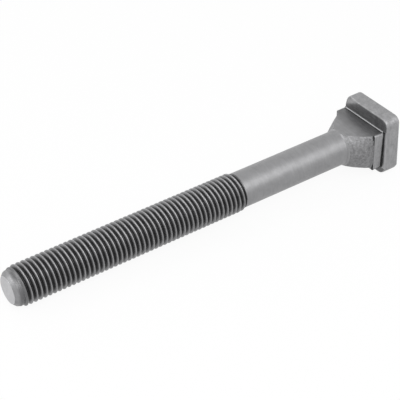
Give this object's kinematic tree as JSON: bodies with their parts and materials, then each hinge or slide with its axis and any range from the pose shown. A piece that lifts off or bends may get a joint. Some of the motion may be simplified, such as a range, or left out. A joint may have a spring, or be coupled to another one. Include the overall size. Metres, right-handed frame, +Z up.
{
  "type": "t slot bolt",
  "caption": "Forged T-slot bolt with a square head, a neck milled flat on opposite sides to slide in a table slot, a plain shank and a long coarse-threaded end",
  "frame": {"origin": "on the bolt's axis, in the plane of the bearing face, the face under the head that pulls against the slot", "axes": "+X along the bolt from the head to the threaded tip, +Y along the slot that the bolt slides in, +Z square to a milled guide face; the bolt lies on its side with +Z up"},
  "size_m": [0.2602, 0.04, 0.04],
  "materials": {
    "tempered_steel": "forged and tempered steel, satin dark grey, with milled faces and a cut thread"
  },
  "bodies": {
    "root": {"t_slot_bolt": "tempered_steel"}
  },
  "joints": []
}
